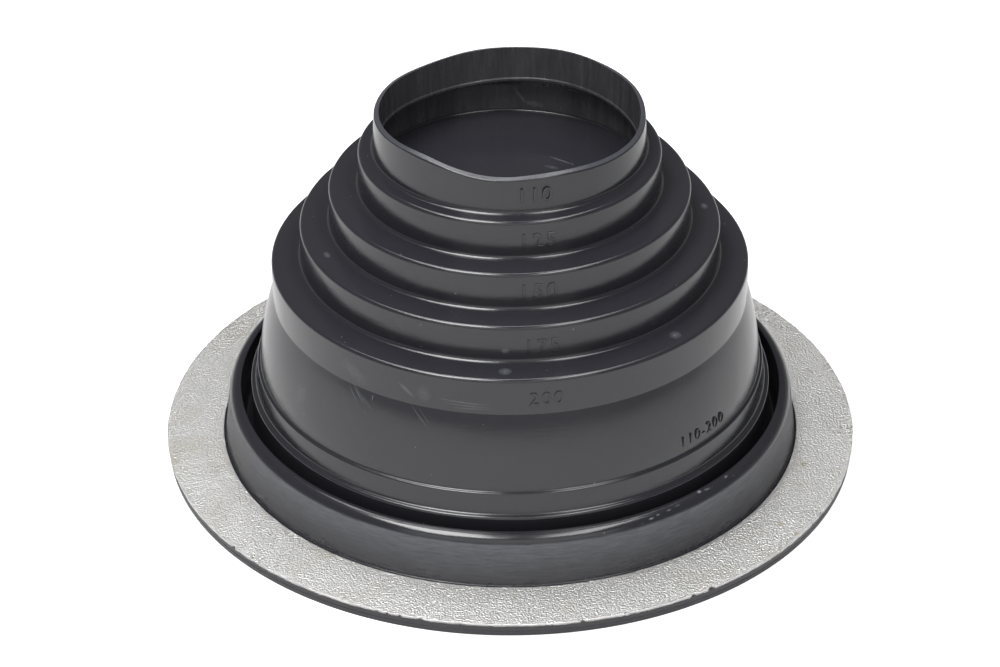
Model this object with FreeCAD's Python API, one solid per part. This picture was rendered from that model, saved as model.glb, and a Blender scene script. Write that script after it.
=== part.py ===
import FreeCAD, Part
import math
import os

# Pipe flashing boot for pipes of 110 to 200 mm, in millimetres.
# Origin: centre of the flange's underside.  +Z runs up through the pipe collar.
# Two pieces: one rubber moulding, and an aluminium ring bonded into the top of its flange.

# ---- driving dimensions -------------------------------------------------------------------
flange_radius = 147.5        # rubber flange, outside
flange_thickness = 5.0       # rubber under the ring
ring_radius = 148.0          # aluminium ring, outside: it stands proud of the rubber
ring_bore_radius = 123.7     # aluminium ring, inside
ring_thickness = 1.1
ring_edge = 0.2              # worn edges of the sheared sheet
wall = 2.4                   # moulded thickness of the cone

# upstand: the outer wall of the fold, leaning in to a rounded crest
upstand_foot_radius = 122.7
upstand_top_radius = 120.1   # where the wall's line meets the crest's height
crest_height = 27.9
crest_round = 4.6
upstand_bore_radius = 116.6  # underneath, inside the flange

# trough between the upstand and the skirt
trough_outer_radius = 115.3
trough_inner_radius = 111.2
trough_floor = 9.0

# skirt: two small steps, then a bell that meets the widest pipe band
step_width = 1.15
low_step_radius = 111.0
low_step_height = 31.0
high_step_radius = 107.8
high_step_height = 40.4
skirt_low_lean = 2.1         # degrees from vertical, where the bell starts
skirt_high_lean = 20.9       # degrees from vertical, where the bell meets the band
skirt_round = 98.0

# cylindrical bands, each the size of the pipe it is cut for
pipe_radii = [100.0, 87.5, 75.0, 62.5]
band_feet = [73.3, 90.4, 107.0, 123.0]
band_tops = [89.2, 106.0, 122.8, 139.1]
draft = 0.3                  # a band is this much wider at its foot
band_edge_round = 1.5
band_foot_round = 1.6
lip_drop = 3.4               # the chamfer inside, under each band's foot
lip_width = 3.0
lip_rise = 0.6               # the chamfer starts this far above the foot outside
web_top = 123.7              # a moulded web closes the bore at the narrowest band's foot

# collar for the 110 pipe, with its top trimmed by hand
collar_foot = 139.8
collar_lip_rise = 1.9
collar_foot_radius = 56.5
collar_top_radius = 55.6
collar_bore_radius = 53.4
collar_land_top = 152.0      # the straight bore ends here, and the mouth opens a little above it
collar_mouth_radius = 53.7   # before trimming
rim_height = 156.0
rim_blank_height = 164.0     # height before trimming
rim_slope = 17.0             # degrees: the cut falls outwards, as the knife was held
# waves of the trimmed rim: how many round the rim, height, where a top stands in degrees
rim_waves = [
    (1, 0.85, 125.0),
    (2, 1.35, 49.0),
    (3, 0.2, 73.0),
    (4, 0.35, 35.0),
    (5, 0.5, 12.0),
]

# sealing ribs under the flange
groove_count = 4
groove_first_radius = 122.5
groove_pitch = 5.6
groove_width = 3.2
groove_depth = 0.8

small_round = 0.6


def tangent_length(before, corner, after, radius):
    """Distance from a corner to where its rounding starts."""
    a = (before - corner).normalize()
    b = (after - corner).normalize()
    opening = a.getAngle(b)
    return radius / math.tan(opening / 2)


def rounded_section(corners):
    """Closed section in the XZ plane from (radius, height, rounding) corners."""
    points = [FreeCAD.Vector(r, 0, z) for r, z, _ in corners]
    edges = []
    ends = []
    count = len(points)
    for i in range(count):
        before, corner, after = points[i - 1], points[i], points[(i + 1) % count]
        rounding = corners[i][2]
        if rounding == 0:
            ends.append((corner, corner))
            continue
        reach = tangent_length(before, corner, after, rounding)
        to_before = (before - corner).normalize()
        to_after = (after - corner).normalize()
        start = corner + to_before * reach
        stop = corner + to_after * reach
        bisector = (to_before + to_after).normalize()
        half_opening = to_before.getAngle(to_after) / 2
        middle = corner + bisector * (rounding / math.sin(half_opening) - rounding)
        edges.append(Part.Arc(start, middle, stop).toShape())
        ends.append((start, stop))
    for i in range(count):
        start = ends[i][1]
        stop = ends[(i + 1) % count][0]
        if start.distanceToPoint(stop) > 1e-6:
            edges.append(Part.LineSegment(start, stop).toShape())
    wire = Part.Wire(Part.__sortEdges__(edges))
    return Part.Face(wire)


def turned(corners):
    """A solid of revolution about Z."""
    face = rounded_section(corners)
    axis_point = FreeCAD.Vector(0, 0, 0)
    return face.revolve(axis_point, FreeCAD.Vector(0, 0, 1), 360)


def skirt_corner(radius, height):
    """The point where the tangents at the bell's two ends cross."""
    turn = math.radians(skirt_high_lean - skirt_low_lean)
    reach = skirt_round * math.tan(turn / 2)
    lean = math.radians(skirt_low_lean)
    return radius - reach * math.sin(lean), height + reach * math.cos(lean)


def outer_corners():
    """The outside, from the flange's edge up to the collar's top."""
    corners = [
        (flange_radius, 0, small_round),
        (flange_radius, flange_thickness, 0),
        (ring_bore_radius, flange_thickness, 0),
        (ring_bore_radius, flange_thickness + ring_thickness, 0),
        (upstand_foot_radius, flange_thickness + ring_thickness, 1.0),
        (upstand_top_radius, crest_height, crest_round),
        (trough_outer_radius, crest_height, 0.5),
        (trough_outer_radius, trough_floor, 2.0),
        (trough_inner_radius, trough_floor, 2.0),
        (low_step_radius, low_step_height, 0.8),
        (low_step_radius - step_width, low_step_height + 0.3, 0.5),
        (high_step_radius, high_step_height, 0.8),
        (high_step_radius - step_width, high_step_height + 0.3, 0.5),
    ]
    bell_radius, bell_height = skirt_corner(high_step_radius - step_width, high_step_height + 0.3)
    corners.append((bell_radius, bell_height, skirt_round))
    for radius, foot, top in zip(pipe_radii, band_feet, band_tops):
        widest = radius == pipe_radii[0]
        corners.append((radius, foot, 0.5) if widest else (radius + draft, foot, band_foot_round))
        corners.append((radius, top, band_edge_round))
    corners.append((collar_foot_radius, collar_foot, band_foot_round))
    corners.append((collar_top_radius, rim_blank_height, 0))
    return corners


def collar_corners():
    """Inside the collar, from its top down to the web, and in to the axis."""
    lip = collar_foot + collar_lip_rise
    cup_radius = pipe_radii[-1] - wall
    return [
        (collar_mouth_radius, rim_blank_height, 0),
        (collar_bore_radius, collar_land_top, 0),
        (collar_bore_radius, lip, 0.3),
        (collar_bore_radius + lip_width, lip - lip_drop, 0.5),
        (cup_radius, band_tops[-1] - wall - 0.1, 0.8),
        (cup_radius, web_top, 0.8),
        (0, web_top, 0),
    ]


def inner_corners():
    """The inside, from the web's underside on the axis, out and down to the flange's underside."""
    corners = [(0, web_top - wall, 0)]
    for index in range(len(pipe_radii) - 2, -1, -1):
        bore = pipe_radii[index] - wall
        corners.append((bore, band_tops[index] - wall - 0.1, 0.8))
        if index > 0:
            lip = band_feet[index] + lip_rise
            corners.append((bore, lip, 0.3))
            corners.append((bore + lip_width, lip - lip_drop, 0.5))
    corners.append((bore, band_feet[0] - 0.4, 0.5))
    bell_foot_radius = high_step_radius - step_width - wall
    bell_radius, bell_height = skirt_corner(bell_foot_radius, high_step_height + 0.3)
    corners.append((bell_radius, bell_height, skirt_round - wall))
    corners.append((bell_foot_radius, high_step_height + 0.6, 1.0))
    corners.append((low_step_radius - wall, low_step_height - 1.0, 1.0))
    web_underside = trough_floor - wall
    corners.append((trough_inner_radius - wall, web_underside, 2.5))
    corners.append((upstand_bore_radius, web_underside, 1.5))
    corners.append((upstand_bore_radius, 0, 0.8))
    for i in range(groove_count):
        near = groove_first_radius + i * groove_pitch - groove_width / 2
        corners.append((near, 0, 0))
        corners.append((near + 0.4, groove_depth, 0))
        corners.append((near + groove_width - 0.4, groove_depth, 0))
        corners.append((near + groove_width, 0, 0))
    return corners


def rim_level(angle):
    """Height of the trimmed rim, where angle is in degrees from +X."""
    level = rim_height
    for number, height, top in rim_waves:
        level += height * math.cos(number * math.radians(angle - top))
    return level


def rim_cutter():
    """What the trimming takes off: everything above the wavy rim."""
    wall_middle = (collar_bore_radius + collar_top_radius) / 2
    fall = math.tan(math.radians(rim_slope))
    rings = []
    for radius in (collar_bore_radius - 6, collar_foot_radius + 6):
        points = []
        for angle in range(0, 360, 10):
            a = math.radians(angle)
            x = radius * math.cos(a)
            y = radius * math.sin(a)
            points.append(FreeCAD.Vector(x, y, rim_level(angle) + fall * (wall_middle - radius)))
        curve = Part.BSplineCurve()
        curve.interpolate(points, PeriodicFlag=True)
        rings.append(curve.toShape())
    face = Part.makeRuledSurface(rings[0], rings[1])
    return face.extrude(FreeCAD.Vector(0, 0, rim_blank_height - rim_height + 12))


def rubber_boot():
    blank = turned(outer_corners() + collar_corners() + inner_corners())
    return blank.cut(rim_cutter())


def aluminium_ring():
    low = flange_thickness
    high = flange_thickness + ring_thickness
    return turned([
        (ring_bore_radius, low, 0),
        (ring_radius, low, 0),
        (ring_radius, high, ring_edge),
        (ring_bore_radius, high, ring_edge),
    ])


def save(name, shape):
    """Write one piece, after a look at its soundness."""
    solid = shape.Solids[0]
    print(name, "solids", len(shape.Solids), "valid", solid.isValid(),
          "faces", len(solid.Faces), "volume cm3", round(solid.Volume / 1000, 1))
    solid.exportStep("parts/" + name + ".step")


os.makedirs("parts", exist_ok=True)
save("rubber_boot", rubber_boot())
save("aluminium_ring", aluminium_ring())
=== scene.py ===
import math

import bmesh
import bpy
from mathutils import Matrix, Vector, noise


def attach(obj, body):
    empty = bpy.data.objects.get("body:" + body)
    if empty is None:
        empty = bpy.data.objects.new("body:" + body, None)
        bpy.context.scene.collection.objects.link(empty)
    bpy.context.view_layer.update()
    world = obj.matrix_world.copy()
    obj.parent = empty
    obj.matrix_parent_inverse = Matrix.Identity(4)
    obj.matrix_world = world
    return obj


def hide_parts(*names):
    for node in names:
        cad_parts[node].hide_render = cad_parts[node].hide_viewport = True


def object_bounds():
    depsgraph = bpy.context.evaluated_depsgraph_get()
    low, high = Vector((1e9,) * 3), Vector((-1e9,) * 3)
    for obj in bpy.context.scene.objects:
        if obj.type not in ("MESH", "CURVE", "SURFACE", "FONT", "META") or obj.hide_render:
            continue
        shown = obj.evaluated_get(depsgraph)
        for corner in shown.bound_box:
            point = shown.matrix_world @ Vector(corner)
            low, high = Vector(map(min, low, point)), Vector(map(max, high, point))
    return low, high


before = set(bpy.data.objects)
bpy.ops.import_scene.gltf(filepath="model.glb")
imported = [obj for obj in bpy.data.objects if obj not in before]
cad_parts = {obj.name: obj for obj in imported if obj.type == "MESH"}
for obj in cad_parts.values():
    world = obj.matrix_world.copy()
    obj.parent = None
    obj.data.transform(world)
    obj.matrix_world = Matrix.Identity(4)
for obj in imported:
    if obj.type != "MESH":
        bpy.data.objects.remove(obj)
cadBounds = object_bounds()

# Pipe flashing boot for 110 to 200 mm pipes: a black EPDM moulding with an aluminium ring.
# The tables below are in millimetres and degrees, and mm turns them to Blender's metres.
mm = 0.001
tau = math.tau


def linearColour(hexText):
    channels = [int(hexText[i:i + 2], 16) / 255 for i in (1, 3, 5)]
    return [c / 12.92 if c <= 0.04045 else ((c + 0.055) / 1.055) ** 2.4 for c in channels] + [1.0]


def addNode(tree, kind, values=None, links=None, **settings):
    node = tree.nodes.new(kind)
    for name, value in settings.items():
        setattr(node, name, value)
    for socket, value in (values or {}).items():
        node.inputs[socket].default_value = value
    for socket, source in (links or {}).items():
        tree.links.new(source, node.inputs[socket])
    return node


def newMaterial(name):
    material = bpy.data.materials.new(name)
    material.use_nodes = True
    material.node_tree.nodes.clear()
    return material, material.node_tree


def finishPiece(name, bm, materials, smooth=True):
    # doubles and flipped faces are cleared here, before anything else sees the mesh
    bmesh.ops.remove_doubles(bm, verts=bm.verts, dist=1e-7)
    bmesh.ops.recalc_face_normals(bm, faces=bm.faces)
    for face in bm.faces:
        face.smooth = smooth
    mesh = bpy.data.meshes.new(name)
    bm.to_mesh(mesh)
    bm.free()
    piece = bpy.data.objects.new(name, mesh)
    bpy.context.scene.collection.objects.link(piece)
    for material in materials:
        mesh.materials.append(material)
    return piece


camera = {
    "place": (-4.24, -1122.43, 758.39),
    "tilt": 57.674,      # from looking straight down
    "roll": -0.186,
    "lens": 112.07,
    "sensor": 36.0,
}


def makeCamera():
    data = bpy.data.cameras.new("camera")
    data.lens = camera["lens"]
    data.sensor_width = camera["sensor"]
    data.clip_start = 0.05
    eye = bpy.data.objects.new("camera", data)
    turn = Matrix.Rotation(math.radians(camera["tilt"]), 4, "X")
    roll = Matrix.Rotation(math.radians(camera["roll"]), 4, "Z")
    eye.matrix_world = Matrix.Translation(Vector(camera["place"]) * mm) @ turn @ roll
    bpy.context.scene.collection.objects.link(eye)
    bpy.context.scene.camera = eye


makeCamera()
print("camera placed")


# materials
def softMarks(tree, place, marks):
    # soft-edged marks on one piece: each has its place (angle from +X, radius, height), its half sizes
    # (along, inwards, up), its lean and turn in degrees, and its strength
    total = None
    for (angle, radius, height), halfSizes, (lean, turn), strength in marks:
        spin = math.radians(angle)
        middle = (radius * math.cos(spin) * mm, radius * math.sin(spin) * mm, height * mm)
        spot = addNode(tree, "ShaderNodeMapping", vector_type="TEXTURE", links={"Vector": place},
                       values={"Location": middle, "Scale": [half * mm for half in halfSizes],
                               "Rotation": (0, math.radians(lean), spin + math.radians(90 + turn))})
        away = addNode(tree, "ShaderNodeVectorMath", operation="LENGTH", links={0: spot.outputs[0]})
        mark = addNode(tree, "ShaderNodeMapRange", links={"Value": away.outputs["Value"]},
                       values={"From Min": 1.0, "From Max": 0.3, "To Min": 0.0, "To Max": strength})
        if total is not None:
            mark = addNode(tree, "ShaderNodeMath", operation="MAXIMUM",
                           links={0: total, 1: mark.outputs[0]})
        total = mark.outputs[0]
    return total


def dustSpecks(tree, place, spacing, size):
    # small pale specks, with none in most cells
    cells = addNode(tree, "ShaderNodeTexVoronoi", links={"Vector": place},
                    values={"Scale": 1 / (spacing * mm)})
    reach = addNode(tree, "ShaderNodeMapRange", links={"Value": cells.outputs["Color"]},
                    values={"From Min": 0.55, "From Max": 1.0, "To Min": 0.0, "To Max": size / spacing})
    return addNode(tree, "ShaderNodeMath", operation="LESS_THAN",
                   links={0: cells.outputs["Distance"], 1: reach.outputs[0]}).outputs[0]


rubberLook = {
    "colour": "#28282d",
    # a pale grey for the rubbed marks, and for the painted sheen on the upstand
    "rubAndSheenColour": "#7d8088",
    "dustColour": "#a39d94",
    "insideColour": "#6c6a6c",    # a greyish bloom inside the collar, wiped in upright streaks
    "bloom": (0.12, 0.34),
    "bloomRadius": (60.6, 54.8),  # it lies inside these radii, below and above the collar's foot
    "bloomHeights": (139.0, 139.5),
    "bloomFoot": 124.0,
    "bloomStreaks": 3.2,          # how far apart the wiped streaks are
    "bloomStretch": (1, 1, 0.12),    # and how far they are drawn out upright
    "roughness": (0.13, 0.2),
    "wornDullness": 0.4,          # how much rougher it is where it is rubbed or has bloomed
    "ior": 1.6,
    "latheSpacing": 0.8,          # the mould's turned marks
    "latheTurn": 0.012,           # metres for each radian: how slowly a mark changes round the mould
    "latheDepth": 0.05,
    "upstandRadius": 118.8,       # outside this and below the crest, the mould was turned more coarsely
    "crestFoot": 24.0,
    "upstandFade": 0.8,
    "crestFade": 1.2,
    "upstandDepth": 0.16,
    "upstandDullness": 0.1,
    "upstandRubAndSheen": 0.5,            # and it is painted paler: rubbed streaks, with a painted sheen that grows towards the crest
    "sheenHeights": (5.0, 25.0),
    "skinGrain": 0.5,
    "skinDepth": 0.02,
    "swell": 26.0,                # how far apart the slow hollows of the skin are
    "swellDepth": 0.35,
    "rubSpacing": 38.0,           # patches of more and of less polish
    "smearGrain": 1.3,            # what breaks up the rubbed marks
    "dustSpacing": 4.2,
    "dustSize": 0.26,
    "marks": [
        # thumbed and rubbed places on the ledges and bands
        ((-91.4, 93.6, 89.4), (3.2, 2.7, 1.0), (0, 0), 0.5),
        ((-45.5, 94.0, 89.4), (3.2, 3.0, 1.0), (0, 20), 0.4),
        ((-91.5, 87.6, 95.4), (2.0, 1.0, 1.6), (0, 0), 0.35),
        ((5.0, 81.6, 106.2), (3.0, 2.0, 1.0), (0, 0), 0.35),
        ((-156.9, 81.2, 106.2), (3.0, 1.6, 1.0), (0, 0), 0.35),
        ((-145.3, 104.7, 57.0), (5.0, 3.0, 7.5), (10, 0), 0.12),
        ((-129.0, 100.0, 79.5), (9.0, 1.5, 4.5), (25, 0), 0.14),
        ((-114.6, 100.0, 79.5), (5.0, 1.0, 1.1), (38, 0), 0.3),
        ((-110.2, 100.0, 79.3), (3.4, 1.0, 4.4), (0, 0), 0.16),
        # long faint streaks along the widest band, and scratches down the skirt
        ((-101.0, 99.9, 78.0), (13.0, 1.0, 0.45), (3, 0), 0.35),
        ((-100.0, 99.9, 76.6), (12.0, 1.0, 0.4), (2, 0), 0.3),
        ((-99.0, 99.9, 75.4), (9.0, 1.0, 0.4), (-2, 0), 0.25),
        ((-127.5, 100.9, 70.8), (7.0, 2.0, 0.3), (42, 0), 0.5),
        ((-126.4, 101.0, 70.2), (7.5, 2.0, 0.25), (40, 0), 0.4),
        ((-128.6, 101.2, 69.6), (6.0, 2.0, 0.3), (44, 0), 0.4),
        ((-124.6, 101.5, 68.6), (5.0, 2.0, 0.25), (40, 0), 0.3),
        ((-123.3, 100.9, 71.2), (0.3, 1.5, 1.8), (0, 0), 0.6),
        ((-111.0, 101.3, 69.0), (8.5, 2.2, 0.25), (44, 0), 0.4),
        ((-110.0, 101.2, 69.8), (6.5, 2.2, 0.2), (46, 0), 0.3),
        # fine streaks round the upstand
        ((-104.0, 121.0, 19.6), (14.0, 1.5, 0.3), (0, 0), 0.25),
        ((-97.0, 121.4, 16.4), (16.0, 1.5, 0.25), (0, 0), 0.25),
        ((-108.0, 121.8, 13.0), (11.0, 1.5, 0.3), (0, 0), 0.2),
        # chafed spots along the crest
        ((-41.5, 117.5, 27.9), (1.5, 0.7, 0.8), (0, 10), 0.8),
        ((-47.2, 117.8, 27.9), (2.2, 0.6, 0.8), (0, -10), 0.8),
        ((-49.2, 117.0, 27.9), (1.2, 0.9, 0.8), (0, 0), 1.0),
        ((-55.4, 118.4, 27.7), (1.8, 0.5, 0.8), (0, 5), 0.8),
        ((-57.6, 118.8, 27.4), (1.6, 0.5, 0.8), (0, 0), 0.9),
        ((-60.2, 119.0, 27.2), (1.3, 0.5, 0.8), (0, 0), 1.0),
        ((-61.8, 119.3, 26.4), (1.5, 0.6, 0.6), (0, 0), 0.8),
        ((-64.0, 119.6, 25.4), (1.3, 0.5, 0.6), (0, 0), 0.8),
        # inside: a wiped smear on the wall and a scratch across the web
        ((85.6, 60.1, 131.0), (5.5, 1.5, 0.9), (-55, 0), 0.45),
        ((80.0, 60.1, 127.4), (5.0, 1.5, 1.6), (-8, 0), 0.35),
        ((35.7, 26.7, 123.7), (7.5, 0.7, 0.6), (0, 19), 0.35),
        ((30.0, 20.0, 123.7), (4.0, 1.6, 0.6), (0, 40), 0.2),
    ],
}


def mouldedEpdmRubber():
    # EPDM rubber, pressed in a turned steel mould: black, with a satin skin that takes dust and rubs
    look = rubberLook
    material, tree = newMaterial("moulded EPDM rubber")
    place = addNode(tree, "ShaderNodeTexCoord").outputs["Object"]
    axes = addNode(tree, "ShaderNodeSeparateXYZ", links={0: place})
    height = axes.outputs[2]
    flat = addNode(tree, "ShaderNodeCombineXYZ", links={0: axes.outputs[0], 1: axes.outputs[1]})
    radius = addNode(tree, "ShaderNodeVectorMath", operation="LENGTH", links={0: flat.outputs[0]})
    angle = addNode(tree, "ShaderNodeMath", operation="ARCTAN2",
                    links={0: axes.outputs[1], 1: axes.outputs[0]})
    slow = addNode(tree, "ShaderNodeMath", operation="MULTIPLY",
                   values={1: look["latheTurn"]}, links={0: angle.outputs[0]})
    turned = addNode(tree, "ShaderNodeCombineXYZ",
                     links={0: radius.outputs["Value"], 1: slow.outputs[0], 2: height})

    # marks left round the mould by its turning, stronger in some places than in others
    lathe = addNode(tree, "ShaderNodeTexNoise", links={"Vector": turned.outputs[0]},
                    values={"Scale": 1 / (look["latheSpacing"] * mm), "Detail": 3.0, "Roughness": 0.6})
    skin = addNode(tree, "ShaderNodeTexNoise", links={"Vector": place},
                   values={"Scale": 1 / (look["skinGrain"] * mm), "Detail": 2.0})
    swell = addNode(tree, "ShaderNodeTexNoise", links={"Vector": place},
                    values={"Scale": 1 / (look["swell"] * mm), "Detail": 1.0})
    rubs = addNode(tree, "ShaderNodeTexNoise", links={"Vector": place},
                   values={"Scale": 1 / (look["rubSpacing"] * mm), "Detail": 5.0,
                           "Roughness": 0.62, "Distortion": 0.6})
    satin = addNode(tree, "ShaderNodeMapRange", links={"Value": rubs.outputs["Fac"]},
                    values={"From Min": 0.35, "From Max": 0.75,
                            "To Min": look["roughness"][0], "To Max": look["roughness"][1]})

    # rubbed marks, broken up by a fine grain, and on the upstand rubbed streaks with a painted sheen,
    # paler towards the crest
    smears = addNode(tree, "ShaderNodeTexNoise", links={"Vector": place},
                     values={"Scale": 1 / (look["smearGrain"] * mm), "Detail": 3.0, "Roughness": 0.6})
    broken = addNode(tree, "ShaderNodeMapRange", links={"Value": smears.outputs["Fac"]},
                     values={"From Min": 0.3, "From Max": 0.7, "To Min": 0.45, "To Max": 1.0})
    outer = addNode(tree, "ShaderNodeMapRange", links={"Value": radius.outputs["Value"]},
                    values={"From Min": look["upstandRadius"] * mm,
                            "From Max": (look["upstandRadius"] + look["upstandFade"]) * mm,
                            "To Min": 0.0, "To Max": 1.0})
    belowCrest = addNode(tree, "ShaderNodeMapRange", links={"Value": height},
                         values={"From Min": look["crestFoot"] * mm,
                                 "From Max": (look["crestFoot"] + look["crestFade"]) * mm,
                                 "To Min": 1.0, "To Max": 0.0})
    upstand = addNode(tree, "ShaderNodeMath", operation="MULTIPLY",
                      links={0: outer.outputs[0], 1: belowCrest.outputs[0]})
    # the painted sheen: the upstand is painted paler from its foot up towards the crest, standing in for
    # its brighter reflection there
    lowSheen, highSheen = look["sheenHeights"]
    sheenHeight = addNode(tree, "ShaderNodeMapRange", links={"Value": height},
                        values={"From Min": lowSheen * mm, "From Max": highSheen * mm,
                                "To Min": 0.0, "To Max": look["upstandRubAndSheen"]})
    upstandSheen = addNode(tree, "ShaderNodeMath", operation="MULTIPLY",
                        links={0: upstand.outputs[0], 1: sheenHeight.outputs[0]})
    streaky = addNode(tree, "ShaderNodeMapRange", links={"Value": lathe.outputs["Fac"]},
                      values={"From Min": 0.3, "From Max": 0.7, "To Min": 0.35, "To Max": 1.0})
    upstandRubAndSheen = addNode(tree, "ShaderNodeMath", operation="MULTIPLY",
                         links={0: upstandSheen.outputs[0], 1: streaky.outputs[0]})
    marked = addNode(tree, "ShaderNodeMath", operation="MULTIPLY",
                     links={0: softMarks(tree, place, look["marks"]), 1: broken.outputs[0]})
    rubAndSheen = addNode(tree, "ShaderNodeMath", operation="MAXIMUM",
                     links={0: marked.outputs[0], 1: upstandRubAndSheen.outputs[0]})

    # the bloom inside the collar: upright streaks, fading at the web
    lowRadius, highRadius = look["bloomRadius"]
    lowHeight, highHeight = look["bloomHeights"]
    limit = addNode(tree, "ShaderNodeMapRange", links={"Value": height},
                    values={"From Min": lowHeight * mm, "From Max": highHeight * mm,
                            "To Min": lowRadius * mm, "To Max": highRadius * mm})
    inside = addNode(tree, "ShaderNodeMath", operation="LESS_THAN",
                     links={0: radius.outputs["Value"], 1: limit.outputs[0]})
    above = addNode(tree, "ShaderNodeMapRange", links={"Value": height},
                    values={"From Min": look["bloomFoot"] * mm,
                            "From Max": (look["bloomFoot"] + 1.2) * mm, "To Min": 0.0, "To Max": 1.0})
    upright = addNode(tree, "ShaderNodeVectorMath", operation="MULTIPLY", values={1: look["bloomStretch"]},
                      links={0: place})
    streaks = addNode(tree, "ShaderNodeTexNoise", links={"Vector": upright.outputs[0]},
                      values={"Scale": 1 / (look["bloomStreaks"] * mm), "Detail": 4.0, "Roughness": 0.65})
    wiped = addNode(tree, "ShaderNodeMapRange", links={"Value": streaks.outputs["Fac"]},
                    values={"From Min": 0.3, "From Max": 0.7,
                            "To Min": look["bloom"][0], "To Max": look["bloom"][1]})
    walls = addNode(tree, "ShaderNodeMath", operation="MULTIPLY",
                    links={0: inside.outputs[0], 1: above.outputs[0]})
    bloom = addNode(tree, "ShaderNodeMath", operation="MULTIPLY",
                    links={0: walls.outputs[0], 1: wiped.outputs[0]})

    bloomed = addNode(tree, "ShaderNodeMix", data_type="RGBA", links={"Factor": bloom.outputs[0]},
                      values={6: linearColour(look["colour"]), 7: linearColour(look["insideColour"])})
    # the pale grey goes on for the rubbed marks and for the painted sheen on the upstand
    wornAndSheen = addNode(tree, "ShaderNodeMix", data_type="RGBA",
                   links={"Factor": rubAndSheen.outputs[0], 6: bloomed.outputs[2]},
                   values={7: linearColour(look["rubAndSheenColour"])})
    specks = dustSpecks(tree, place, look["dustSpacing"], look["dustSize"])
    colour = addNode(tree, "ShaderNodeMix", data_type="RGBA",
                     links={"Factor": specks, 6: wornAndSheen.outputs[2]},
                     values={7: linearColour(look["dustColour"])})
    wearing = addNode(tree, "ShaderNodeMath", operation="ADD",
                      links={0: rubAndSheen.outputs[0], 1: bloom.outputs[0]})
    dulled = addNode(tree, "ShaderNodeMath", operation="MULTIPLY_ADD",
                     values={1: look["upstandDullness"]},
                     links={0: upstand.outputs[0], 2: satin.outputs[0]})
    roughness = addNode(tree, "ShaderNodeMath", operation="MULTIPLY_ADD", values={1: look["wornDullness"]},
                        links={0: wearing.outputs[0], 2: dulled.outputs[0]})

    slowHollows = addNode(tree, "ShaderNodeBump", links={"Height": swell.outputs["Fac"]},
                          values={"Strength": 1.0, "Distance": look["swellDepth"] * mm})
    ridges = addNode(tree, "ShaderNodeBump",
                     links={"Height": lathe.outputs["Fac"], "Strength": rubs.outputs["Fac"],
                            "Normal": slowHollows.outputs["Normal"]},
                     values={"Distance": look["latheDepth"] * mm})
    coarse = addNode(tree, "ShaderNodeBump",
                     links={"Height": lathe.outputs["Fac"], "Strength": upstand.outputs[0],
                            "Normal": ridges.outputs["Normal"]},
                     values={"Distance": look["upstandDepth"] * mm})
    grain = addNode(tree, "ShaderNodeBump",
                    links={"Height": skin.outputs["Fac"], "Normal": coarse.outputs["Normal"]},
                    values={"Strength": 1.0, "Distance": look["skinDepth"] * mm})
    shader = addNode(tree, "ShaderNodeBsdfPrincipled", values={"IOR": look["ior"]},
                     links={"Base Color": colour.outputs[2], "Roughness": roughness.outputs[0],
                            "Normal": grain.outputs["Normal"]})
    addNode(tree, "ShaderNodeOutputMaterial", links={"Surface": shader.outputs[0]})
    return material


cutLook = {
    "colour": "#3c3d43",
    "roughness": 0.3,
    "chatter": 1.4,               # the knife's small steps
    "chatterDepth": 0.12,
}


def knifeCutRubber():
    # the same EPDM where a knife has been through it: greyer and less smooth than the moulded skin
    look = cutLook
    material, tree = newMaterial("knife-cut EPDM rubber")
    place = addNode(tree, "ShaderNodeTexCoord").outputs["Object"]
    steps = addNode(tree, "ShaderNodeTexNoise", links={"Vector": place},
                    values={"Scale": 1 / (look["chatter"] * mm), "Detail": 2.0})
    cut = addNode(tree, "ShaderNodeBump", links={"Height": steps.outputs["Fac"]},
                  values={"Strength": 1.0, "Distance": look["chatterDepth"] * mm})
    shader = addNode(tree, "ShaderNodeBsdfPrincipled", links={"Normal": cut.outputs["Normal"]},
                     values={"Base Color": linearColour(look["colour"]), "IOR": rubberLook["ior"],
                             "Roughness": look["roughness"]})
    addNode(tree, "ShaderNodeOutputMaterial", links={"Surface": shader.outputs[0]})
    return material


ringLook = {
    "colour": "#e4e3e1",
    "stainColour": "#bcb29d",
    "scuffColour": "#ecebe8",
    "bareMetal": 0.91,            # the rest is a milky skin of oxide and dust
    "roughness": (0.26, 0.34),
    "scuffDullness": 0.3,
    "grain": 0.85,                # the sheet's rolled grain, which glints
    "grainDepth": 0.6,
    "fineGrain": 0.45,
    "fineDepth": 0.12,
    "stainSize": 30.0,
    "stains": [
        ((-16.9, 130.0, 6.1), (2.4, 1.8, 1.0), (0, 0), 0.9),
        ((-36.1, 137.2, 6.1), (2.0, 1.4, 1.0), (0, 30), 0.8),
        ((-36.9, 146.4, 6.1), (1.8, 1.2, 1.0), (0, 0), 0.8),
        ((-89.4, 130.2, 6.1), (1.4, 1.0, 1.0), (0, 0), 0.9),
    ],
    "scuffs": [
        ((-156.3, 142.9, 6.1), (3.2, 1.2, 1.0), (0, 20), 0.9),
        ((-156.8, 133.6, 6.1), (5.0, 1.4, 1.0), (0, 35), 0.8),
        ((-159.1, 126.8, 6.1), (4.0, 1.2, 1.0), (0, 30), 0.8),
        ((-92.0, 133.6, 6.1), (3.0, 1.6, 1.0), (0, 10), 0.9),
    ],
}


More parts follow.
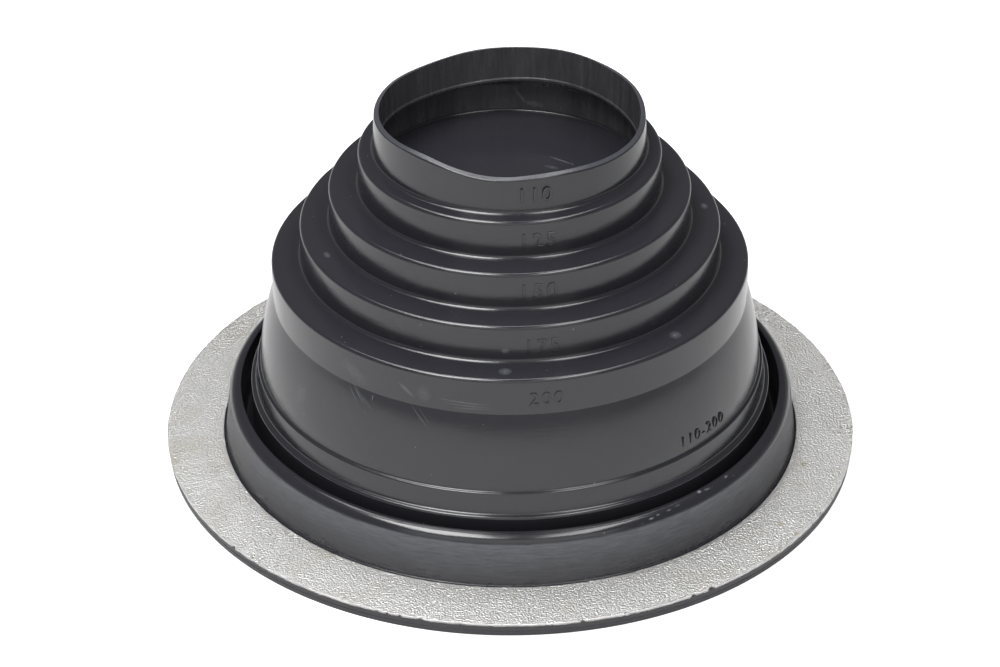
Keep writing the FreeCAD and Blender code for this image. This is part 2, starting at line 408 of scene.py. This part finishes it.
def millFinishAluminium():
    # mill finish aluminium sheet, rolled and stamped: dull, grainy, scuffed and a little stained
    look = ringLook
    material, tree = newMaterial("mill finish aluminium")
    place = addNode(tree, "ShaderNodeTexCoord").outputs["Object"]
    grain = addNode(tree, "ShaderNodeTexNoise", links={"Vector": place},
                    values={"Scale": 1 / (look["grain"] * mm), "Detail": 2.0, "Roughness": 0.55})
    fine = addNode(tree, "ShaderNodeTexNoise", links={"Vector": place},
                   values={"Scale": 1 / (look["fineGrain"] * mm), "Detail": 1.0})
    clouds = addNode(tree, "ShaderNodeTexNoise", links={"Vector": place},
                     values={"Scale": 1 / (look["stainSize"] * mm), "Detail": 6.0, "Roughness": 0.65})
    cloudy = addNode(tree, "ShaderNodeMapRange", links={"Value": clouds.outputs["Fac"]},
                     values={"From Min": 0.52, "From Max": 0.72, "To Min": 0.0, "To Max": 0.5})
    stained = addNode(tree, "ShaderNodeMath", operation="MAXIMUM",
                      links={0: cloudy.outputs[0], 1: softMarks(tree, place, look["stains"])})
    scuffed = softMarks(tree, place, look["scuffs"])
    dirty = addNode(tree, "ShaderNodeMix", data_type="RGBA", links={"Factor": stained.outputs[0]},
                    values={6: linearColour(look["colour"]), 7: linearColour(look["stainColour"])})
    colour = addNode(tree, "ShaderNodeMix", data_type="RGBA",
                     links={"Factor": scuffed, 6: dirty.outputs[2]},
                     values={7: linearColour(look["scuffColour"])})
    dullness = addNode(tree, "ShaderNodeMapRange", links={"Value": clouds.outputs["Fac"]},
                       values={"From Min": 0.3, "From Max": 0.7,
                               "To Min": look["roughness"][0], "To Max": look["roughness"][1]})
    roughness = addNode(tree, "ShaderNodeMath", operation="MULTIPLY_ADD",
                        values={1: look["scuffDullness"]}, links={0: scuffed, 2: dullness.outputs[0]})
    coarse = addNode(tree, "ShaderNodeBump", links={"Height": grain.outputs["Fac"]},
                     values={"Strength": 1.0, "Distance": look["grainDepth"] * mm})
    both = addNode(tree, "ShaderNodeBump",
                   links={"Height": fine.outputs["Fac"], "Normal": coarse.outputs["Normal"]},
                   values={"Strength": 1.0, "Distance": look["fineDepth"] * mm})
    shader = addNode(tree, "ShaderNodeBsdfPrincipled", values={"Metallic": look["bareMetal"]},
                     links={"Base Color": colour.outputs[2], "Roughness": roughness.outputs[0],
                            "Normal": both.outputs["Normal"]})
    addNode(tree, "ShaderNodeOutputMaterial", links={"Surface": shader.outputs[0]})
    return material


rubber = mouldedEpdmRubber()
cutRubber = knifeCutRubber()
aluminium = millFinishAluminium()
print("materials made")


# turned forms
def roundCorner(bm, point, rounding, arcError):
    # a vertex bevel from tangent point to tangent point, with as many segments as the arc needs
    first, second = [edge.other_vert(point).co - point.co for edge in point.link_edges]
    opening = first.angle(second)
    turn = math.pi - opening
    arcStep = 2 * math.acos(1 - min(arcError / rounding, 0.5))
    bmesh.ops.bevel(bm, geom=[point], offset=rounding / math.tan(opening / 2), offset_type="OFFSET",
                    segments=max(2, math.ceil(turn / arcStep)), profile=0.5, affect="VERTICES",
                    material=-1)


def spinSection(corners, steps):
    # corners are (radius, height, rounding, allowed error of its arc) round a section,
    # which is closed unless it starts and ends on the axis
    bm = bmesh.new()
    points = [bm.verts.new((radius * mm, 0, height * mm)) for radius, height, _, _ in corners]
    for start, end in zip(points, points[1:]):
        bm.edges.new((start, end))
    if corners[0][0] > 0:
        bm.edges.new((points[-1], points[0]))
    for point, (_, _, rounding, arcError) in zip(points, corners):
        if rounding > 0:
            roundCorner(bm, point, rounding * mm, arcError * mm)
    bmesh.ops.spin(bm, geom=bm.verts[:] + bm.edges[:], cent=(0, 0, 0), axis=(0, 0, 1),
                   angle=tau, steps=steps, use_merge=True)
    return bm


# the rubber boot
boot = {
    "flangeRadius": 147.5,
    "flangeThickness": 5.0,
    "ringBore": 123.7,
    "ringThickness": 1.1,
    "wall": 2.4,
    "upstandFoot": 122.7,
    "upstandTop": 120.1,
    "crestHeight": 27.9,
    "crestRound": 4.6,
    "upstandBore": 116.6,
    "troughOuter": 115.3,
    "troughInner": 111.2,
    "troughFloor": 9.0,
    "lowStep": (111.0, 31.0, 2.2),       # radius, height and width
    "highStep": (107.8, 40.4, 1.4),
    "stepFall": 0.3,
    "stepRounds": (1.1, 0.75),           # low, high
    "skirtLeans": (2.1, 20.9),           # from vertical, at the bell's foot and at its top
    "skirtRound": 98.0,
    "bands": [(100.0, 73.3, 89.2), (87.5, 90.4, 106.0), (75.0, 107.0, 122.8), (62.5, 123.0, 139.1)],
    "draft": 0.3,
    "bandEdgeRound": 1.5,
    "bandFootRound": 1.6,
    "collarFoot": (56.5, 139.8),
    "collarTop": 55.63,            # where the trimmed rim cuts it
    "collarBore": 53.4,
    "collarLip": 141.7,
    "collarLandTop": 152.0,        # the straight bore ends here and the mouth opens a little
    "collarMouth": 53.5,
    "lipBead": 0.4,
    "webTop": 123.7,               # the moulded web that closes the bore
    "lipDrop": 3.4,
    "lipWidth": 3.0,
    "lipRise": 0.6,
    "rimHeight": 156.0,
    "rimSlope": (20.0, 7.0),       # the cut falls outwards, by more in some places than in others
    "rimWaveFoot": 146.0,          # below this the trimming has pulled nothing out of line
    # waves of the hand-trimmed rim: how many round it, height, where one has its top
    "rimWaves": [(1, 0.86, 125), (2, 1.36, 49), (3, 0.22, 73), (4, 0.36, 35),
                 (5, 0.52, 12), (6, 0.17, 50), (7, 0.1, 18), (8, 0.17, 15)],
    "lipWaves": [(1, 0.88, -161), (2, 0.53, 40), (3, 0.94, -52)],
    "partingBead": (2.3, 0.25),    # height and size of the flash line round the flange
    "ringGap": (0.55, 0.7),        # width and depth of the gap between the ring and the upstand
    "grooves": (4, 122.5, 5.6, 3.2, 0.8, 0.4),    # count, first radius, pitch, width, depth, draft
    "steps": 300,
    "arcError": 0.004,             # how far a rounding may stray from its true arc, where it shows
    "hiddenArcError": 0.03,
}


def bellCorner(radius, height):
    # where the tangents at the bell's foot and top cross
    low, high = [math.radians(lean) for lean in boot["skirtLeans"]]
    reach = boot["skirtRound"] * math.tan((high - low) / 2)
    return radius - reach * math.sin(low), height + reach * math.cos(low)


def bootOutside():
    b = boot
    top = b["flangeThickness"] + b["ringThickness"]
    lowRadius, lowHeight, lowWidth = b["lowStep"]
    highRadius, highHeight, highWidth = b["highStep"]
    bellRadius, bellHeight = bellCorner(highRadius - highWidth, highHeight + b["stepFall"])
    lowRound, highRound = b["stepRounds"]
    beadHeight, bead = b["partingBead"]
    gapWidth, gapDepth = b["ringGap"]
    corners = [
        (b["flangeRadius"], 0, 0.6),
        (b["flangeRadius"], beadHeight - bead, 0),
        (b["flangeRadius"] + bead, beadHeight, 0.1),
        (b["flangeRadius"], beadHeight + bead, 0),
        (b["flangeRadius"], b["flangeThickness"], 0.2),
        (b["ringBore"], b["flangeThickness"], 0),
        (b["ringBore"], top - gapDepth, 0),
        (b["ringBore"] - gapWidth, top - gapDepth, 0),
        (b["ringBore"] - gapWidth, top, 0.1),
        (b["upstandFoot"], top + 0.1, 0.25),
        (b["upstandTop"], b["crestHeight"], b["crestRound"]),
        (b["troughOuter"], b["crestHeight"], 0.5),
        (b["troughOuter"], b["troughFloor"], 2.0),
        (b["troughInner"], b["troughFloor"], 2.0),
        (lowRadius, lowHeight, lowRound),
        (lowRadius - lowWidth, lowHeight + b["stepFall"], lowRound),
        (highRadius, highHeight, highRound),
        (highRadius - highWidth, highHeight + b["stepFall"], highRound),
        (bellRadius, bellHeight, b["skirtRound"]),
    ]
    for index, (radius, foot, bandTop) in enumerate(b["bands"]):
        widened = radius + b["draft"] if index else radius
        corners.append((widened, foot, b["bandFootRound"] if index else 0.5))
        corners.append((radius, bandTop, b["bandEdgeRound"]))
    collarRadius, collarFoot = b["collarFoot"]
    corners.append((collarRadius, collarFoot, b["bandFootRound"]))
    corners.append((b["collarTop"], b["rimHeight"], 0.6))
    return [corner + (b["arcError"],) for corner in corners]


def collarInside():
    # from the rim down to the moulded web, which closes the bore at the narrowest band's foot
    b = boot
    bore = b["collarBore"]
    radius, _, bandTop = b["bands"][-1]
    corners = [
        (b["collarMouth"], b["rimHeight"], 0.25),
        (bore, b["collarLandTop"], 0),
        (bore, b["collarLip"] + 1.4, 0.3),
        (bore - b["lipBead"], b["collarLip"] + 0.9, 0.2),
        (bore - b["lipBead"], b["collarLip"], 0.2),
        (bore + b["lipWidth"], b["collarLip"] - b["lipDrop"], 0.5),
        (radius - b["wall"], bandTop - b["wall"] - 0.1, 0.8),
        (radius - b["wall"], b["webTop"], 0.8),
        (0, b["webTop"], 0),
    ]
    return [corner + (0.01,) for corner in corners]


def bootInside():
    # from the web's underside out and down to the flange's
    b = boot
    corners = [(0, b["webTop"] - b["wall"], 0)]
    for radius, foot, bandTop in reversed(b["bands"][:-1]):
        bore = radius - b["wall"]
        lip = foot + b["lipRise"]
        corners.append((bore, bandTop - b["wall"] - 0.1, 0.8))
        if radius != b["bands"][0][0]:
            corners.append((bore, lip, 0.3))
            corners.append((bore + b["lipWidth"], lip - b["lipDrop"], 0.5))
    corners.append((bore, b["bands"][0][1] - 0.4, 0.5))
    lowRadius, lowHeight, lowWidth = b["lowStep"]
    highRadius, highHeight, highWidth = b["highStep"]
    footRadius = highRadius - highWidth - b["wall"]
    bellRadius, bellHeight = bellCorner(footRadius, highHeight + b["stepFall"])
    webUnderside = b["troughFloor"] - b["wall"]
    corners += [
        (bellRadius, bellHeight, b["skirtRound"] - b["wall"]),
        (footRadius, highHeight + 0.6, 1.0),
        (lowRadius - lowWidth - b["wall"], lowHeight + b["stepFall"], 1.0),
        (lowRadius - b["wall"], lowHeight - b["wall"], 1.0),
        (b["troughInner"] - b["wall"], webUnderside, 2.5),
        (b["upstandBore"], webUnderside, 1.5),
        (b["upstandBore"], 0, 0.8),
    ]
    count, firstRadius, pitch, width, depth, draft = b["grooves"]
    for index in range(count):
        near = firstRadius + index * pitch - width / 2
        far = near + width
        corners += [(near, 0, 0), (near + draft, depth, 0), (far - draft, depth, 0), (far, 0, 0)]
    return [corner + (b["hiddenArcError"],) for corner in corners]


def waves(parts, angle):
    return sum(height * math.cos(count * (angle - math.radians(top))) for count, height, top in parts)


def trimRim(bm):
    # the rim was cut by hand, so its level and slope wander, and the lip inside isn't level either
    b = boot
    lipLow = b["collarLip"] - b["lipDrop"] - 1.5
    wallMiddle = (b["collarMouth"] + b["collarTop"]) / 2
    slope, slopeWander = b["rimSlope"]
    for vert in bm.verts:
        height = vert.co.z / mm
        radius = vert.co.xy.length / mm
        angle = math.atan2(vert.co.y, vert.co.x)
        if height > b["rimWaveFoot"]:
            wander = noise.noise(Vector((math.cos(angle), math.sin(angle), 0)) * 3)
            fall = math.tan(math.radians(slope + 2 * slopeWander * wander)) * (wallMiddle - radius)
            share = min(1, (height - b["rimWaveFoot"]) / (b["rimHeight"] - 1 - b["rimWaveFoot"]))
            vert.co.z += share * (waves(b["rimWaves"], angle) + share ** 4 * fall) * mm
        elif height > lipLow and radius < b["collarBore"] + b["lipWidth"] - 0.6:
            vert.co.z += waves(b["lipWaves"], angle) * min(1, (height - lipLow) / 3) * mm


def makeBoot():
    bm = spinSection(bootInside() + bootOutside() + collarInside(), boot["steps"])
    trimRim(bm)
    bm.normal_update()
    for face in bm.faces:
        if face.calc_center_median().z > boot["rimWaveFoot"] * mm and abs(face.normal.z) > 0.75:
            face.material_index = 1
    piece = finishPiece("rubber_boot_moulding", bm, [rubber, cutRubber])
    shading = piece.modifiers.new("even shading", "WEIGHTED_NORMAL")
    shading.mode = "FACE_AREA"
    shading.keep_sharp = True
    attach(piece, "root")
    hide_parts("rubber_boot")
    return piece


rubberBoot = makeBoot()
print("boot moulded,", len(rubberBoot.data.polygons), "faces")


# the pipe size stands on each band, a little to the right of the front, and the range on the skirt
numbers = {
    "proud": 0.42,
    "sunk": 0.3,
    "edge": 0.14,
    "spacing": 1.2,
    "figureShare": 0.73,          # the height of the font's figures for its size
    # text, radius, middle's angle from the front, level of its foot, height of its figures, and how
    # much bolder than the plain font
    "marks": [("110", 56.4, 9.8, 144.9, 6.2, 0.06), ("125", 62.6, 9.9, 127.6, 6.7, 0.06),
              ("150", 75.1, 8.3, 111.7, 6.9, 0.06), ("175", 87.6, 8.0, 94.3, 6.4, 0.06),
              ("200", 100.0, 8.1, 77.7, 6.0, 0.06), ("110-200", 106.15, 47.8, 43.9, 5.2, -0.12)],
}


def raisedNumber(text, radius, middleAngle, level, height, bolder):
    n = numbers
    curve = bpy.data.curves.new("number " + text, "FONT")
    curve.body = text
    curve.size = height * mm / n["figureShare"]
    curve.space_character = n["spacing"]
    curve.align_x = "CENTER"
    curve.bevel_depth = n["edge"] * mm
    curve.bevel_resolution = 2
    curve.offset = (bolder - n["edge"]) * mm
    curve.extrude = (n["proud"] + n["sunk"]) / 2 * mm - curve.bevel_depth
    curve.resolution_u = 6
    shape = bpy.data.objects.new("number " + text, curve)
    bpy.context.scene.collection.objects.link(shape)
    mesh = bpy.data.meshes.new_from_object(shape.evaluated_get(bpy.context.evaluated_depsgraph_get()))
    bpy.data.objects.remove(shape)
    bm = bmesh.new()
    bm.from_mesh(mesh)
    for vert in bm.verts:
        across, up, out = vert.co
        reach = radius * mm + out + (n["proud"] - n["sunk"]) / 2 * mm
        angle = math.radians(middleAngle - 90) + across / (radius * mm)
        vert.co = (reach * math.cos(angle), reach * math.sin(angle), level * mm + up)
    piece = finishPiece("size_number_" + text, bm, [rubber], smooth=False)
    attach(piece, "root")
    return piece


for mark in numbers["marks"]:
    raisedNumber(*mark)
print("numbers raised")


# the aluminium ring
ring = {
    "radius": 148.0,
    "bore": 123.7,
    "underside": 5.0,
    "thickness": 1.1,
    "edge": 0.22,
    "steps": 1400,
    "edgeWander": 0.24,           # how far the sheared edge strays
    "wanderSizes": (5, 1.6),      # its long waves and its short ones, which are half as high
    "arcError": 0.02,
    # nicks and small tears in the edge: angle from +X, half width, depth (a burr where it is negative)
    "nicks": [(-140.1, 1.6, 1.0), (-111.2, 0.9, 0.5), (-109.6, 0.8, 0.6), (-107.5, 1.0, 0.6),
              (-104.2, 1.2, 0.5), (-97.9, 0.9, 0.4), (-79.0, 1.3, 0.9), (-71.9, 1.1, -0.5),
              (-60.5, 1.8, 1.0), (-57.1, 2.2, 1.2)],
}


def makeRing():
    r = ring
    top = r["underside"] + r["thickness"]
    error = r["arcError"]
    longWave, shortWave = r["wanderSizes"]
    bm = spinSection([
        (r["bore"], r["underside"], 0, error),
        (r["radius"], r["underside"], 0, error),
        (r["radius"], top, r["edge"], error),
        (r["bore"], top, r["edge"], error),
    ], r["steps"])
    for vert in bm.verts:
        if vert.co.xy.length > (r["bore"] + r["radius"]) / 2 * mm:
            outward = vert.co.xy.normalized().to_3d()
            angle = math.degrees(math.atan2(vert.co.y, vert.co.x))
            stray = noise.noise(vert.co / (longWave * mm)) * r["edgeWander"]
            stray += noise.noise(vert.co / (shortWave * mm)) * r["edgeWander"] * 0.5
            for middle, width, depth in r["nicks"]:
                away = abs(angle - middle) * math.radians(1) * r["radius"]
                if away < width:
                    stray -= depth * (0.5 + 0.5 * math.cos(math.pi * away / width))
            vert.co += outward * stray * mm
    piece = finishPiece("aluminium_ring_sheet", bm, [aluminium])
    shading = piece.modifiers.new("even shading", "WEIGHTED_NORMAL")
    shading.mode = "FACE_AREA"
    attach(piece, "root")
    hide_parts("aluminium_ring")
    return piece


aluminiumRing = makeRing()
print("ring made,", len(aluminiumRing.data.polygons), "faces")


# the floor and the light
studio = {
    "floorSize": 12.0,             # metres
    "floorColour": "#dedede",
    "floorWhite": 0.78,            # a glow that only the camera sees, so that the floor stays white
    "paintedFloorGlow": 0.1,              # a painted glow on the floor near the object, which the object mirrors as a painted reflection
    "tableReach": (0.28, 0.7),     # where that glow starts to fade, and where it ends
    # softboxes: place, size, tilt and radiance: two long ones overhead, one behind, a wide one in front
    "softboxes": [((-0.4, -0.36, 1.3), (0.56, 0.9), 0, 11.0), ((0.42, -0.36, 1.3), (0.34, 0.9), 0, 6.6),
                  ((-0.07, 0.52, 1.3), (1.0, 0.44), 0, 5.0), ((0.0, -1.75, 1.05), (3.0, 1.3), 59, 0.9)],
    "worldHorizon": 0.42,
    "worldUp": 0.1,
    "worldTurn": 0.35,             # how far up it has faded
}


def glowingFloor():
    # a white floor: it stays white and takes a faint shadow; near the object it has a painted glow, seen
    # by every ray, which the object mirrors; from underneath it is clear, so that the object's underside
    # shows
    material, tree = newMaterial("white floor with a painted glow")
    rays = addNode(tree, "ShaderNodeLightPath")
    place = addNode(tree, "ShaderNodeTexCoord").outputs["Object"]
    away = addNode(tree, "ShaderNodeVectorMath", operation="LENGTH", links={0: place})
    near, far = studio["tableReach"]
    # near the object the floor glows for every ray: a painted glow, so that the rubber mirrors a brighter
    # floor
    fading = addNode(tree, "ShaderNodeMapRange", links={"Value": away.outputs["Value"]},
                     values={"From Min": near, "From Max": far, "To Min": studio["paintedFloorGlow"],
                             "To Max": 0.0})
    glow = addNode(tree, "ShaderNodeMix", data_type="FLOAT", values={3: studio["floorWhite"]},
                   links={0: rays.outputs["Is Camera Ray"], 2: fading.outputs[0]})
    board = addNode(tree, "ShaderNodeBsdfDiffuse", values={"Color": linearColour(studio["floorColour"])})
    light = addNode(tree, "ShaderNodeEmission", links={"Strength": glow.outputs[0]})
    both = addNode(tree, "ShaderNodeAddShader", links={0: board.outputs[0], 1: light.outputs[0]})
    side = addNode(tree, "ShaderNodeNewGeometry")
    clear = addNode(tree, "ShaderNodeBsdfTransparent")
    table = addNode(tree, "ShaderNodeMixShader",
                    links={0: side.outputs["Backfacing"], 1: both.outputs[0], 2: clear.outputs[0]})
    addNode(tree, "ShaderNodeOutputMaterial", links={"Surface": table.outputs[0]})
    return material


def makeFloor():
    bm = bmesh.new()
    bmesh.ops.create_grid(bm, x_segments=1, y_segments=1, size=studio["floorSize"] / 2)
    floor = finishPiece("floor", bm, [glowingFloor()], smooth=False)
    for vert in floor.data.vertices:
        vert.co.z = cadBounds[0].z


def makeSoftbox(place, size, tilt, radiance):
    width, depth = size
    data = bpy.data.lights.new("softbox", "AREA")
    data.shape = "RECTANGLE"
    data.size = width
    data.size_y = depth
    data.energy = radiance * math.pi * width * depth
    lamp = bpy.data.objects.new("softbox", data)
    lamp.location = place
    lamp.rotation_euler = (math.radians(tilt), 0, 0)
    bpy.context.scene.collection.objects.link(lamp)


def makeWorld():
    # a dim room that is paler towards the horizon
    world = bpy.data.worlds.new("studio room")
    world.use_nodes = True
    tree = world.node_tree
    tree.nodes.clear()
    place = addNode(tree, "ShaderNodeTexCoord").outputs["Generated"]
    up = addNode(tree, "ShaderNodeSeparateXYZ", links={0: place})
    strength = addNode(tree, "ShaderNodeMapRange", links={"Value": up.outputs[2]},
                       values={"From Min": 0.0, "From Max": studio["worldTurn"],
                               "To Min": studio["worldHorizon"], "To Max": studio["worldUp"]})
    room = addNode(tree, "ShaderNodeBackground", values={"Color": (1, 1, 1, 1)},
                   links={"Strength": strength.outputs[0]})
    addNode(tree, "ShaderNodeOutputWorld", links={"Surface": room.outputs[0]})
    bpy.context.scene.world = world


makeFloor()
for softbox in studio["softboxes"]:
    makeSoftbox(*softbox)
makeWorld()
bpy.context.scene.view_settings.view_transform = "Standard"
print("studio lit")
